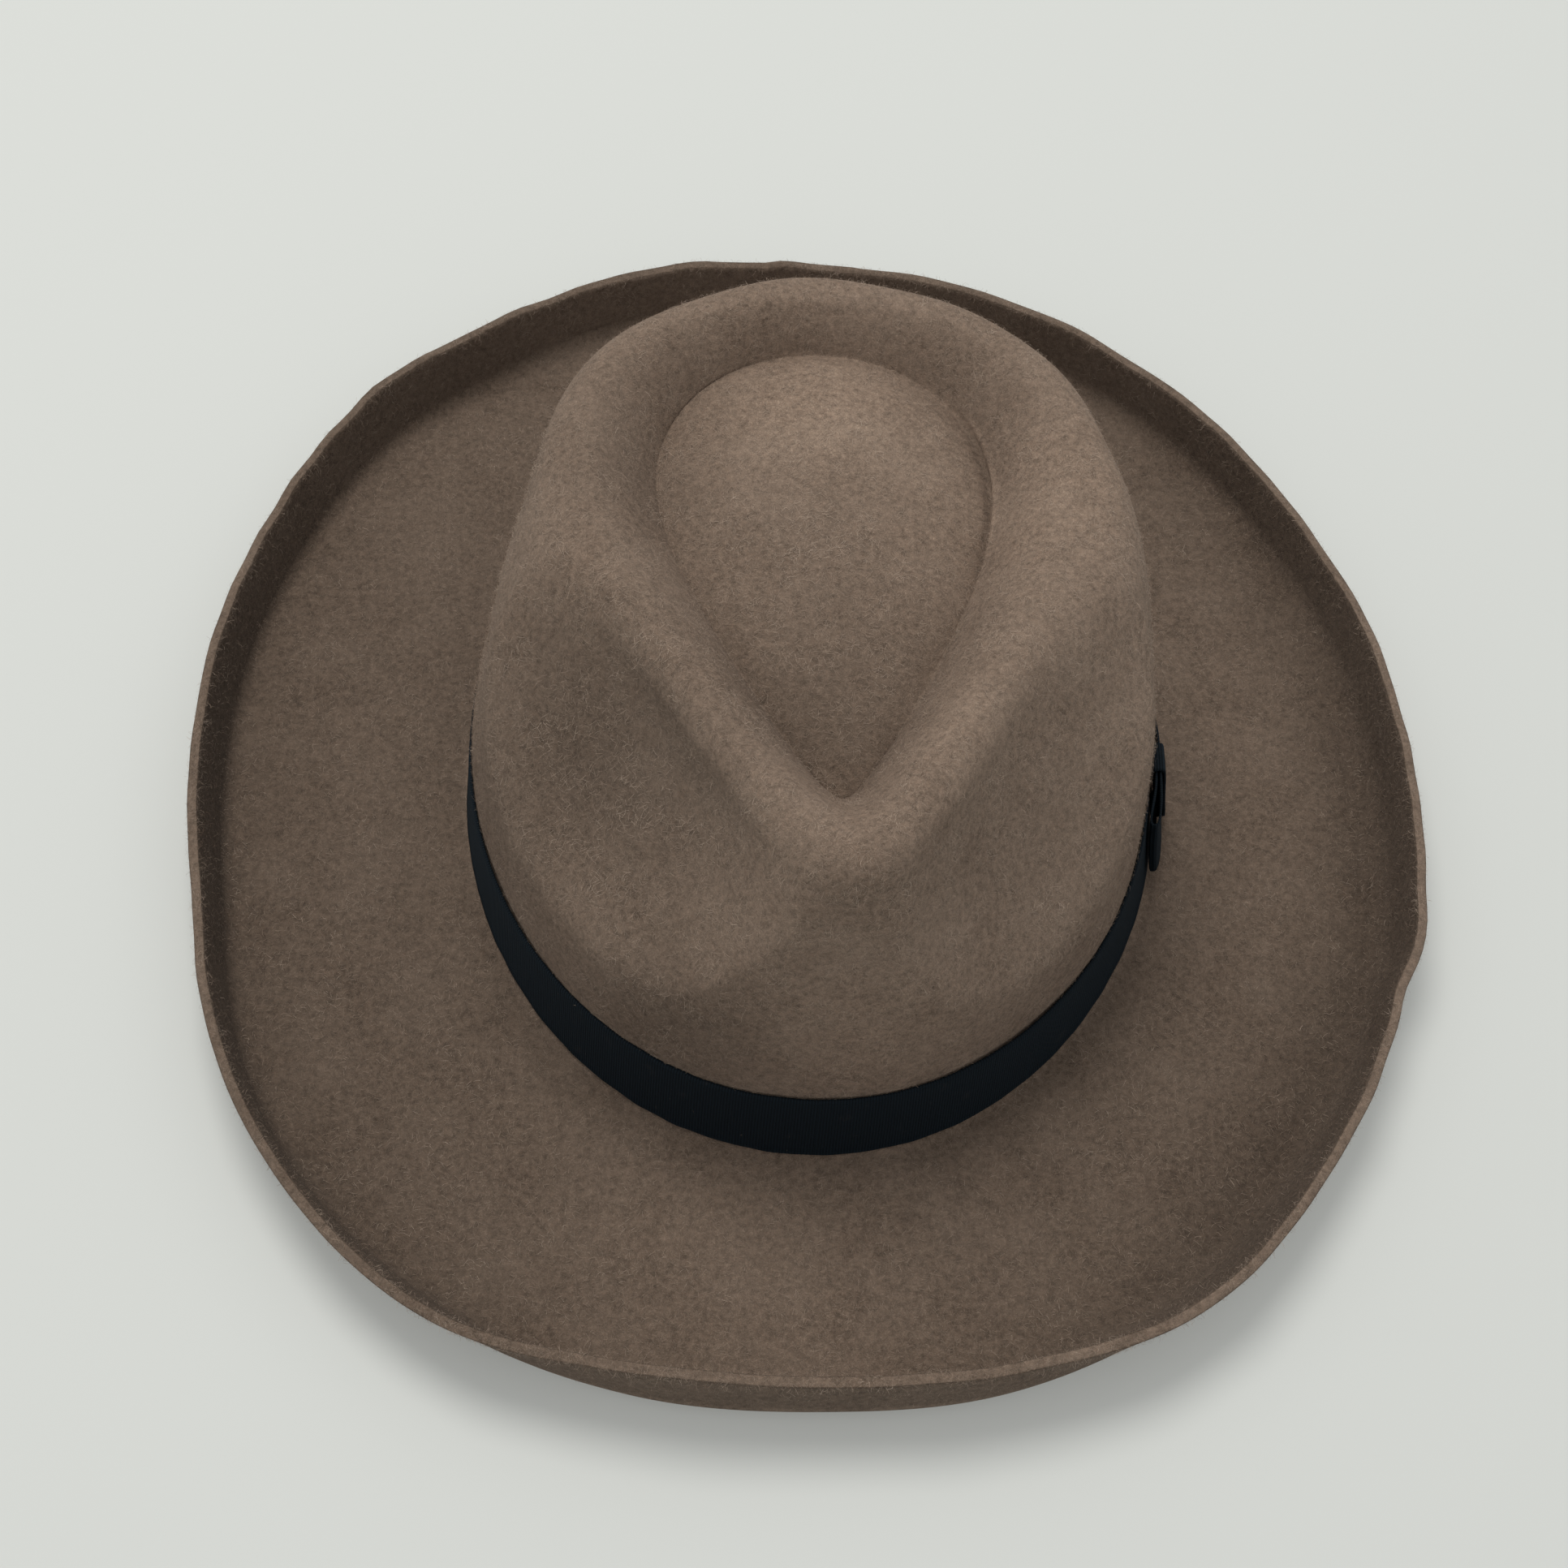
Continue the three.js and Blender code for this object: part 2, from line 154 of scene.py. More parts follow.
def mix(a, b, share):
    return a + (b - a) * share


def turn_of(t):
    """Degrees from the front, from 0 up to 360."""
    return np.degrees(t) % 360.0


def table_value(column, turn):
    """Smooth value of a column whose evenly spaced rows go once round the hat."""
    column = np.asarray(column, float)
    place = np.asarray(turn) / 360 * len(column)
    first = np.floor(place).astype(int)
    share = place - first
    before, start, end, after = (column[(first + step) % len(column)] for step in (-1, 0, 1, 2))
    eased = share * share * (3 - 2 * share)
    return (
        mix(start, end, eased)
        + (end - before) / 2 * share * (1 - share) ** 2
        - (after - start) / 2 * share**2 * (1 - share)
    )


def points(x, y, z):
    return np.stack(np.broadcast_arrays(x, y, z), axis=-1).astype(float)


def spread(t):
    """Sideways reach of the teardrop before it is scaled to its half width."""
    return np.sin(t) * np.hypot(np.sin(t / 2), TEARDROP_ROUNDING) ** TEARDROP_TAPER


def teardrop(t, half_width, front, back):
    """Plan outline pointed towards the front, which is t = 0, and round at the back."""
    across = half_width * spread(t) / spread(TEARDROP_WIDEST)
    behind = (1 - np.cos(t)) / 2
    return across + TEARDROP_SWAY * (1 - behind), mix(front, back, behind)


def crest_point(t):
    x, y = teardrop(
        t,
        CROWN_HALF_WIDTH - CREST_INSET_SIDE,
        -CROWN_HALF_LENGTH + CREST_INSET_FRONT,
        CROWN_HALF_LENGTH - CREST_INSET_BACK,
    )
    return points(x, y, BACK_HEIGHT + FRONT_RISE * table_value(FRONT_SHARE, turn_of(t)))


def dome_height(x, y):
    """Height of the domed floor inside the dent."""
    side = CROWN_HALF_WIDTH - CREST_INSET_SIDE - ROLL_WIDTH_SIDE
    front = CROWN_HALF_LENGTH - CREST_INSET_FRONT - ROLL_WIDTH_FRONT + DOME_SETBACK
    back = CROWN_HALF_LENGTH - CREST_INSET_BACK - ROLL_WIDTH_BACK - DOME_SETBACK
    ahead = y - DOME_SETBACK
    fall = np.where(
        ahead < 0, DOME_FALL_FRONT * (ahead / front) ** 2, DOME_FALL_BACK * (ahead / back) ** 2
    )
    return BACK_HEIGHT - DOME_DROP - fall - DOME_FALL_SIDE * (x / side) ** 2


def crease_point(t):
    x, y = teardrop(
        t,
        CROWN_HALF_WIDTH - CREST_INSET_SIDE - ROLL_WIDTH_SIDE,
        -CROWN_HALF_LENGTH + CREST_INSET_FRONT + ROLL_WIDTH_FRONT,
        CROWN_HALF_LENGTH - CREST_INSET_BACK - ROLL_WIDTH_BACK,
    )
    return points(x, y, dome_height(x, y) - DOME_EDGE_DROP)


def outward_direction(t):
    x, y = CROWN_HALF_WIDTH * np.sin(t), -CROWN_HALF_LENGTH * np.cos(t)
    length = np.hypot(x, y)
    return x / length, y / length


def pinch_push(t, share, pinch, side):
    """How strongly one front pinch acts at this turn, and how far in it has pushed the wall."""
    middle = (pinch["start"] + pinch["end"]) / 2
    across = np.clip((side - middle) / (pinch["end"] - middle), -1, 1)
    near_end = np.where(side < pinch["low"], pinch["start"], pinch["end"])
    from_low = np.clip((side - pinch["low"]) / (near_end - pinch["low"]), 0, 1)
    climb = from_low ** np.where(side < pinch["low"], 2, pinch["fade"])
    rim = mix(pinch["rim"], PINCH_TOP, climb)
    above_rim = (share - rim) / (1 - rim)
    rise = np.clip((above_rim + np.hypot(above_rim, PINCH_EDGE_SOFTNESS)) / 2, 0, 1)
    fade = np.where(across > 0, np.abs(across) ** pinch["fade"], across**2)
    return pinch["depth"] * (1 - fade), 1 - (1 - rise) ** pinch["ledge"]


def wall_point(t, share):
    """Outer face of the crown wall, from the brim (share 0) up to the crest (share 1)."""
    t, share = np.broadcast_arrays(np.asarray(t, float), np.asarray(share, float))
    crest = crest_point(t)
    end_lean = mix(FRONT_LEAN, BACK_LEAN, (1 - np.cos(t)) / 2)
    turn = turn_of(t)
    shoulder = table_value(SHOULDER, turn)
    boxy = 1 - np.maximum(0, 1 - np.maximum(share, 0) ** shoulder) ** (1 / shoulder)
    on_right = turn > 180
    right = pinch_push(t, share, PINCHES["right"], 360 - turn)
    left = pinch_push(t, share, PINCHES["left"], turn)
    amount, push = (np.where(on_right, a, b) for a, b in zip(right, left))
    foot_x = (CROWN_HALF_WIDTH - SIDE_LEAN * share) * np.sin(t)
    foot_y = -(CROWN_HALF_LENGTH - end_lean * share) * np.cos(t)
    height = mix(FELT_THICKNESS, crest[..., 2], share)
    run = np.hypot(foot_x - crest[..., 0], foot_y - crest[..., 1])
    away = run * (1 - mix(boxy, push, amount))
    below_crest = np.clip((crest[..., 2] - height) / CREST_RADIUS, 0, 1)
    rounding = CREST_RADIUS * np.sqrt(1 - (1 - below_crest) ** 2)
    inward = 1 - np.minimum(1, (away**4 + rounding**4) ** 0.25 / run)
    low = np.clip(1 - (height - FELT_THICKNESS) / BRIM_FILLET, 0, 1)
    near_foot = np.clip(1 - (height - FELT_THICKNESS) / FOOT_SPREAD_HEIGHT, 0, 1)
    flare = BRIM_FILLET * (1 - np.sqrt(1 - low * low))
    flare = flare + table_value(FOOT_SPREAD, turn) * near_foot**2
    out_x, out_y = outward_direction(t)
    return points(
        mix(foot_x, crest[..., 0], inward) + out_x * flare,
        mix(foot_y, crest[..., 1], inward) + out_y * flare,
        height,
    )


def share_of_height(t, height):
    return (height - FELT_THICKNESS) / (crest_point(t)[..., 2] - FELT_THICKNESS)


def crown_point(t, s):
    """Outside of the crown: dent centre (0), crease (1), crest (2), top of the fillet (3), brim (4)."""
    if s <= 1:
        crease = crease_point(t)
        x, y = crease[..., 0] * s, mix(DOME_SETBACK, crease[..., 1], s)
        return points(x, y, dome_height(x, y) - DOME_EDGE_DROP * max(0, s) ** DOME_EDGE_POWER)
    if s <= 2:
        crest, crease, share = crest_point(t), crease_point(t), 2 - s
        plan = mix(crest, crease, share)
        fall = (crest[..., 2] - crease[..., 2]) * share**ROLL_FALL
        return points(plan[..., 0], plan[..., 1], crest[..., 2] - fall)
    fillet_top = share_of_height(t, FELT_THICKNESS + BRIM_FILLET)
    if s <= 3:
        angle = (3 - s) ** 1.5 * math.pi / 2
        return wall_point(t, mix(fillet_top, 1, math.sin(angle) ** 0.66))
    return wall_point(t, fillet_top * (1 - math.sin((min(s, 4) - 3) * math.pi / 2)))


def unit(vectors):
    return vectors / np.maximum(np.linalg.norm(vectors, axis=-1, keepdims=True), 1e-9)


def surface_normal(point, t, s, step=0.02):
    along_turn = point(t + step, s) - point(t - step, s)
    along_profile = point(t, s + step) - point(t, s - step)
    return unit(np.cross(along_profile, along_turn))


def wave_noise(where, size, seed, waves=28):
    """Smooth, repeatable unevenness between about -1 and 1, with bumps of that size."""
    rng = np.random.default_rng(seed)
    directions = unit(rng.normal(size=(waves, 3)))
    lengths = size * rng.uniform(0.7, 1.6, waves)
    phases = rng.uniform(0, FULL_TURN, waves)
    total = np.sin(where @ (directions / lengths[:, None]).T * FULL_TURN + phases).sum(axis=-1)
    return total / math.sqrt(waves)


def brim_section(t):
    """Sizes of the brim in the upright plane outwards from the crown at this turn."""
    out_x, out_y = outward_direction(t)
    turn = turn_of(np.arctan2(out_x, -out_y))
    foot = wall_point(t, 0)
    foot_reach = np.hypot(foot[..., 0], foot[..., 1])
    lean = np.radians(table_value(LEAN, turn) * LIP_LEAN)
    height = table_value(RISE, turn) * LIP_HEIGHT
    crown_reach = foot_reach - BRIM_FILLET - table_value(FOOT_SPREAD, turn_of(t))
    reach = crown_reach + BRIM_WIDTH * table_value(REACH, turn)
    for middle, half_length, change in EDGE_KINKS:
        reach = reach + change * np.exp(-(((turn - middle) / half_length) ** 2))
    fold_radius = FOLD_RADIUS * table_value(FOLD_SOFTNESS, turn)
    outer_radius = fold_radius + FELT_THICKNESS
    lip_length = (height - outer_radius + outer_radius * np.sin(lean)) / np.cos(lean)
    fold_centre = reach - outer_radius * np.cos(lean) - lip_length * np.sin(lean)
    return {
        "out": (out_x, out_y),
        "foot_reach": foot_reach,
        "lean": lean,
        "reach": reach,
        "fold_centre": fold_centre,
        "lip_length": lip_length,
        "inner_radius": fold_radius,
        "outer_radius": outer_radius,
    }


def on_section(section, reach, height):
    return points(section["out"][0] * reach, section["out"][1] * reach, height)


# Hand-made unevenness
CROWN_WOBBLE = 0.55
CROWN_WOBBLE_SIZE = 46.0
BRIM_WOBBLE = 0.35
BRIM_WOBBLE_SIZE = 60.0
CUT_WOBBLE = 0.45
CUT_WOBBLE_SIZE = 22.0
CUT_ROUGHNESS = 0.12

# Slips of the shears along the cut edge: turn and half length in degrees, change of the lip
CUT_SLIPS = (
    (184.0, 0.9, -1.1),
    (180.5, 2.0, 0.4),
    (76.0, 2.0, 0.5),
    (66.0, 3.0, -0.6),
    (202.0, 2.5, -0.4),
    (226.0, 3.0, 0.4),
    (350.0, 4.0, 0.4),
)

# Crisp stretch of the dent's crease, at the back on the wearer's left: its middle and half length
# in degrees, the rise of its lip, the depth of the groove beside it, the painted highlight on the lip
# and the painted shade on the dent's floor beside the crease, with the size of that shade
CRISP_MIDDLE = 113.0
CRISP_HALF_LENGTH = 23.0
CRISP_LIP_AT = 1.045
CRISP_LIP_SIZE = 0.03
CRISP_LIP_RISE = 0.5
CRISP_GROOVE_AT = 0.99
CRISP_GROOVE_DEPTH = 0.6
CRISP_PAINTED_HIGHLIGHT = 0.3
CRISP_PAINTED_SHADE = 0.3
CRISP_PAINTED_SHADE_SIZE = 0.06


def crease_crispness(t):
    """How crisp the dent's crease is at this turn, from 0 to 1."""
    return np.exp(-(((turn_of(t) - CRISP_MIDDLE) / CRISP_HALF_LENGTH) ** 4))


def crown_pair(t, s):
    """Outer and inner felt point of the crown, with the unevenness of hand blocking."""
    outer = crown_point(t, s)
    normal = surface_normal(crown_point, t, s) if s < 3.9 else unit(points(*outward_direction(t), 1))
    fade = min(1.0, max(0.0, (3.3 - s) / 0.8))
    shift = CROWN_WOBBLE * fade * wave_noise(outer, CROWN_WOBBLE_SIZE, seed=11)
    lip = CRISP_LIP_RISE * math.exp(-(((s - CRISP_LIP_AT) / CRISP_LIP_SIZE) ** 2))
    groove = CRISP_GROOVE_DEPTH * math.exp(-(((s - CRISP_GROOVE_AT) / CRISP_LIP_SIZE) ** 2))
    shift = shift + crease_crispness(t) * (lip - groove)
    outer = outer + normal * shift[..., None]
    return outer, outer - normal * FELT_THICKNESS


def brim_pair(t, share):
    """Upper and lower felt point of the flat brim."""
    section = brim_section(t)
    reach = mix(section["foot_reach"], section["fold_centre"], share)
    upper = on_section(section, reach, FELT_THICKNESS)
    wave = wave_noise(upper, BRIM_WOBBLE_SIZE, seed=23)
    upper[..., 2] += BRIM_WOBBLE * math.sin(share * math.pi) * wave
    return upper, on_section(section, reach, 0.0)


def fold_pair(t, share):
    """The fold from the flat brim (0) up into the lip (1)."""
    section = brim_section(t)
    angle = (math.pi / 2 - section["lean"]) * share

    def at(radius):
        return on_section(
            section,
            section["fold_centre"] + radius * np.sin(angle),
            section["outer_radius"] - radius * np.cos(angle),
        )

    return at(section["inner_radius"]), at(section["outer_radius"])


def lip_pair(t, share):
    """The straight part of the lip, from the fold (0) to the cut edge (1)."""
    section = brim_section(t)
    lean = section["lean"]
    rough = section["reach"][..., None] * points(*section["out"], 0)
    cut = CUT_WOBBLE * wave_noise(rough, CUT_WOBBLE_SIZE, seed=31)
    for middle, half_length, change in CUT_SLIPS:
        cut = cut + change * np.exp(-(((turn_of(t) - middle) / half_length) ** 2))
    length = section["lip_length"] + cut
    start_out = section["fold_centre"] + section["outer_radius"] * np.cos(lean)
    start_up = section["outer_radius"] * (1 - np.sin(lean))
    out = start_out + length * share * np.sin(lean)
    up = start_up + length * share * np.cos(lean)
    inner_face = on_section(
        section, out - FELT_THICKNESS * np.cos(lean), up + FELT_THICKNESS * np.sin(lean)
    )
    return inner_face, on_section(section, out, up)


# Where the middle of the head opening lies in the frame, whose origin centres the outline
HAT_SHIFT = np.array((-0.37, -1.32, 0.0))

# Tone that scales the felt's own colour, where 1 is that colour. Most of it is painted light and
# shade: the crown is painted lighter, the brim and the inside and outside of the lip are painted darker
# as painted shade, and the rim shade is painted shade on the brim next to the lip. The underside is
# given a darker tone, and the cut edge has a tone of its own. The brim, the inside of the lip, the rim
# shade and the cut edge have a value every 45 degrees, from the front round over the wearer's left.
CROWN_PAINTED_LIGHT = 1.06
BRIM_PAINTED_SHADE = (0.9, 0.7, 0.82, 0.79, 0.78, 0.74, 0.7, 0.7)
LIP_INSIDE_PAINTED_SHADE = (0.5, 0.48, 0.46, 0.6, 0.88, 0.6, 0.3, 0.4)
LIP_OUTSIDE_PAINTED_SHADE = 0.64
UNDERSIDE_TONE = 0.8
RIM_SHADE = (0, 0.32, 0.36, 0.15, 0, 0, 0.12, 0.12)
CUT_EDGE_TONE = (0.92, 1.0, 1.0, 0.85, 0.75, 0.75, 0.85, 0.78)

# Painted light and painted shade in patches on the crown, pale where it faces the light and dark in its
# hollows: centre and size in millimetres, change of tone
PAINTED_LIGHT_PATCHES = (
    ((0, 56, 95), 24, 0.4),
    ((-5, 14, 95), 20, -0.1),
    ((0, -32, 84), 24, -0.3),
    ((52, 22, 101), 26, 0.3),
    ((3, -74, 109), 14, 0.06),
    ((30, -48, 105), 20, 0.2),
    ((6, -98, 50), 30, 0.28),
    ((82, -20, 50), 40, 0.14),
    ((-60, -36, 76), 30, -0.38),
    ((-40, -56, 78), 22, -0.16),
    ((-30, -91, 44), 24, -0.3),
    ((52, -58, 84), 26, -0.12),
    ((-46, 30, 98), 18, -0.18),
)


# The crown's painted light, plus its patches of painted light and painted shade
def crown_painted_light(where):
    tone = np.full(where.shape[:-1], CROWN_PAINTED_LIGHT)
    for centre, size, change in PAINTED_LIGHT_PATCHES:
        away = np.linalg.norm(where - centre, axis=-1) / size
        tone += change * np.exp(-(away**2))
    return tone


def crease_painted_light(t, s):
    """Painted light at the crisp crease: a painted highlight on its lip, painted shade on the floor of
    the dent.
    """
    painted_highlight = CRISP_PAINTED_HIGHLIGHT * np.exp(-(((s - CRISP_LIP_AT) / CRISP_LIP_SIZE) ** 2))
    painted_shade = CRISP_PAINTED_SHADE * np.exp(-((max(0.0, 1 - s) / CRISP_PAINTED_SHADE_SIZE) ** 2)) * (s <= 1)
    return crease_crispness(t) * (painted_highlight - painted_shade)


# Meshes

def add_piece(name, vertices, faces, material, slot, flow=None, **point_values):
    """A mesh piece from millimetre points round the middle of the head opening."""
    mesh = bpy.data.meshes.new(name)
    mesh.from_pydata(((vertices + HAT_SHIFT) * MM).tolist(), [], faces)
    for label, values in point_values.items():
        layer = mesh.attributes.new(label, "FLOAT", "POINT")
        layer.data.foreach_set("value", values.astype(np.float32).ravel())
    if flow is not None:
        layer = mesh.uv_layers.new(name="lay")
        layer.data.foreach_set("uv", flow.astype(np.float32).ravel())
    mesh.polygons.foreach_set("use_smooth", [True] * len(mesh.polygons))
    mesh.materials.append(material)
    mesh.validate()
    piece = bpy.data.objects.new(name, mesh)
    bpy.context.scene.collection.objects.link(piece)
    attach(piece, "root")
    return piece


def loop_faces(loops, size, closed):
    """Quads between loops of points that follow each other; closed joins the last to the first."""
    faces = []
    links = loops if closed else loops - 1
    for i in range(links):
        a, b = i * size, (i + 1) % loops * size
        for j in range(size):
            k = (j + 1) % size
            faces.append((a + j, b + j, b + k, a + k))
    return faces


def flow_of(loops, size, along, across):
    """UV of every face corner of closed loops: metres along the loop and across the loops."""
    corners = []
    for i in range(loops):
        v0, v1 = across[i], across[i + 1]
        for j in range(size):
            u0, u1 = along[j], along[j + 1]
            corners.extend(((u0, v0), (u0, v1), (u1, v1), (u1, v0)))
    return np.array(corners)


# Loops of the felt body from the middle of the dent outwards, and how the meridians crowd towards
# the front and the loops towards the crease
MERIDIANS = 300
FRONT_CROWDING = 0.4
DOME_LOOPS = 22
ROLL_LOOPS = 25
WALL_LOOPS = 61
FILLET_LOOPS = 6
BRIM_LOOPS = 26
FOLD_LOOPS = 9
LIP_LOOPS = 11
DENT_CENTRE = 0.03
CREASE_CROWDING_INSIDE = 1.6
CREASE_CROWDING_OUTSIDE = 1.5
CUT_LOOPS = (0.12, 0.5, 0.88)
CUT_SWELL = 0.3


def meridian_turns(count):
    even = np.linspace(0, FULL_TURN, count, endpoint=False)
    return even - FRONT_CROWDING * np.sin(even)


def cut_edge_loops(inner_rim, outer_rim):
    """Loops across the raw cut edge of the lip, swollen in the middle and rough with cut fibres."""
    loops = []
    for share in CUT_LOOPS:
        loop = mix(inner_rim, outer_rim, share)
        rough = wave_noise(loop, 2.4, seed=41) + wave_noise(loop, 5.5, seed=43)
        loop[..., 2] += CUT_SWELL * math.sin(share * math.pi) + CUT_ROUGHNESS * rough
        loops.append(loop)
    return loops


def felt_body(material):
    """Crown, brim and lip in one closed skin."""
    t = meridian_turns(MERIDIANS)
    dome = 1 - (1 - np.linspace(DENT_CENTRE, 1, DOME_LOOPS)) ** CREASE_CROWDING_INSIDE
    roll = 1 + np.linspace(0, 1, ROLL_LOOPS + 1)[1:] ** CREASE_CROWDING_OUTSIDE
    wall = np.linspace(2, 3, WALL_LOOPS + 1)[1:]
    fillet = np.linspace(3, 4, FILLET_LOOPS + 2)[1:-1]
    stations = (
        [(crown_pair, s) for part in (dome, roll, wall, fillet) for s in part]
        + [(brim_pair, s) for s in np.linspace(0, 1, BRIM_LOOPS)]
        + [(fold_pair, s) for s in np.linspace(0, 1, FOLD_LOOPS + 1)[1:]]
        + [(lip_pair, s) for s in np.linspace(0, 1, LIP_LOOPS + 1)[1:]]
    )
    pairs = [pair(t, s) for pair, s in stations]
    outside = [outer for outer, _ in pairs]
    inside = [inner for _, inner in pairs][::-1]
    values = {"tone": [], "crown_nap": [], "brim_nap": [], "edge_nap": []}

    def note(tone, crown=0.0, brim=0.0, edge=0.0, count=len(t)):
        """Tone laid on the wool, mostly painted light and shade, and how many loose hairs of each kind
        stand on it.
        """
        for label, value in zip(values, (tone, crown, brim, edge)):
            values[label].append(np.broadcast_to(value, count))

    brim_painted_shade, lip_painted_shade, rim_shade, edge_tone = (
        table_value(tones, turn_of(t))
        for tones in (BRIM_PAINTED_SHADE, LIP_INSIDE_PAINTED_SHADE, RIM_SHADE, CUT_EDGE_TONE)
    )
    for (pair, share), loop in zip(stations, outside):
        if pair is crown_pair:
            low = min(1.0, max(0.0, share - 3))
            # wool here is the crown's painted light and shade, with the painted highlight and shade of
            # its crease
            wool = crown_painted_light(loop) + crease_painted_light(t, share)
            note(mix(wool, brim_painted_shade, low), crown=1 - low)
        elif pair is brim_pair:
            # Painted shade on the brim, darker still towards the lip by the rim shade
            note(brim_painted_shade * (1 - rim_shade * share**4), brim=1)
        elif pair is fold_pair:
            note(mix(brim_painted_shade * (1 - rim_shade), lip_painted_shade, share), brim=1)
        else:
            # Painted shade on the inside of the lip
            note(lip_painted_shade, brim=1, edge=share**5)
    for _ in CUT_LOOPS:
        note(edge_tone, edge=1)
    # Painted shade on the outside of the lip; the underside and the inside of the crown take the
    # underside tone
    for pair, share in stations[::-1]:
        if pair is lip_pair:
            note(LIP_OUTSIDE_PAINTED_SHADE, brim=0.7, edge=share**5)
        else:
            note(UNDERSIDE_TONE)
    loops = outside + cut_edge_loops(outside[-1], inside[0]) + inside
    size = len(t)
    faces = loop_faces(len(loops), size, closed=False)
    vertices = np.concatenate(loops)
    centre = crown_point(np.zeros(1), 0)
    first, last = len(vertices), (len(loops) - 1) * size
    vertices = np.concatenate([vertices, centre, centre - (0, 0, FELT_THICKNESS)])
    note(crown_painted_light(centre), crown=1, count=1)
    note(UNDERSIDE_TONE, count=1)
    values = {label: np.concatenate(lists) for label, lists in values.items()}
    for j in range(size):
        k = (j + 1) % size
        faces.append((first, j, k))
        faces.append((first + 1, last + k, last + j))
    piece = add_piece("felt_hat", vertices, faces, material, "felt", **values)
    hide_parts("felt_body")
    return piece


# Half the width of a hair, as a share of its length
HAIR_HALF_WIDTH = 0.014


def hair_tree(material):
    """Geometry Nodes that scatter short bent hairs over a mesh, as thick as one of its attributes."""
    tree = bpy.data.node_groups.new("scattered_wool_hairs", "GeometryNodeTree")
    tree.interface.new_socket("Geometry", in_out="OUTPUT", socket_type="NodeSocketGeometry")
    for label, kind in (
        ("Geometry", "NodeSocketGeometry"),
        ("Where", "NodeSocketString"),
        ("Hairs Per Square Metre", "NodeSocketFloat"),
        ("Shortest", "NodeSocketFloat"),
        ("Longest", "NodeSocketFloat"),
        ("Slant", "NodeSocketFloat"),
        ("Seed", "NodeSocketInt"),
    ):
        tree.interface.new_socket(label, in_out="INPUT", socket_type=kind)
    given = tree.nodes.new("NodeGroupInput")
    result = tree.nodes.new("NodeGroupOutput")
    nap = add_node(tree, "GeometryNodeInputNamedAttribute", data_type="FLOAT")
    join(tree, given.outputs["Where"], nap.inputs["Name"])
    density = add_node(tree, "ShaderNodeMath", operation="MULTIPLY")
    join(tree, nap.outputs["Attribute"], density.inputs[0])
    join(tree, given.outputs["Hairs Per Square Metre"], density.inputs[1])
    scatter = add_node(tree, "GeometryNodeDistributePointsOnFaces", distribute_method="RANDOM")
    join(tree, given.outputs["Geometry"], scatter.inputs["Mesh"])
    join(tree, density.outputs[0], scatter.inputs["Density"])
    join(tree, given.outputs["Seed"], scatter.inputs["Seed"])
    bend = add_node(tree, "GeometryNodeCurvePrimitiveBezierSegment", mode="POSITION")
    bend.inputs["Resolution"].default_value = 2
    bend.inputs["Start"].default_value = (0, 0, -0.05)
    bend.inputs["Start Handle"].default_value = (0.2, 0.1, 0.25)
    bend.inputs["End Handle"].default_value = (0.6, 0.3, 0.3)
    bend.inputs["End"].default_value = (1, 0.3, 0.2)
    ends = {"Start": (-HAIR_HALF_WIDTH, 0, 0), "End": (HAIR_HALF_WIDTH, 0, 0)}
    strand = add_node(tree, "GeometryNodeCurvePrimitiveLine", ends)
    hair = add_node(tree, "GeometryNodeCurveToMesh")
    join(tree, bend.outputs["Curve"], hair.inputs["Curve"])
    join(tree, strand.outputs["Curve"], hair.inputs["Profile Curve"])
    turn = add_node(tree, "FunctionNodeRandomValue", data_type="FLOAT_VECTOR")
    lean = add_node(tree, "ShaderNodeCombineXYZ", {"Z": FULL_TURN})
    lean_back = add_node(tree, "ShaderNodeCombineXYZ")
    other_way = add_node(tree, "ShaderNodeMath", {1: -1.0}, operation="MULTIPLY")
    join(tree, given.outputs["Slant"], other_way.inputs[0])
    for axis in ("X", "Y"):
        join(tree, given.outputs["Slant"], lean.inputs[axis])
        join(tree, other_way.outputs[0], lean_back.inputs[axis])
    join(tree, lean_back.outputs[0], turn.inputs[0])
    join(tree, lean.outputs[0], turn.inputs[1])
    join(tree, given.outputs["Seed"], turn.inputs["Seed"])
    lay = add_node(tree, "FunctionNodeRotateRotation", rotation_space="LOCAL")
    join(tree, scatter.outputs["Rotation"], lay.inputs["Rotation"])
    join(tree, turn.outputs[0], lay.inputs["Rotate By"])
    length = add_node(tree, "FunctionNodeRandomValue", data_type="FLOAT")
    join(tree, given.outputs["Shortest"], length.inputs[2])
    join(tree, given.outputs["Longest"], length.inputs[3])
    join(tree, given.outputs["Seed"], length.inputs["Seed"])
    plant = add_node(tree, "GeometryNodeInstanceOnPoints")
    join(tree, scatter.outputs["Points"], plant.inputs["Points"])
    join(tree, hair.outputs["Mesh"], plant.inputs["Instance"])
    join(tree, lay.outputs["Rotation"], plant.inputs["Rotation"])
    join(tree, length.outputs[1], plant.inputs["Scale"])
    real = add_node(tree, "GeometryNodeRealizeInstances")
    join(tree, plant.outputs["Instances"], real.inputs["Geometry"])
    finish = add_node(tree, "GeometryNodeSetMaterial", {"Material": material})
    join(tree, real.outputs["Geometry"], finish.inputs["Geometry"])
    join(tree, finish.outputs["Geometry"], result.inputs["Geometry"])
    return tree


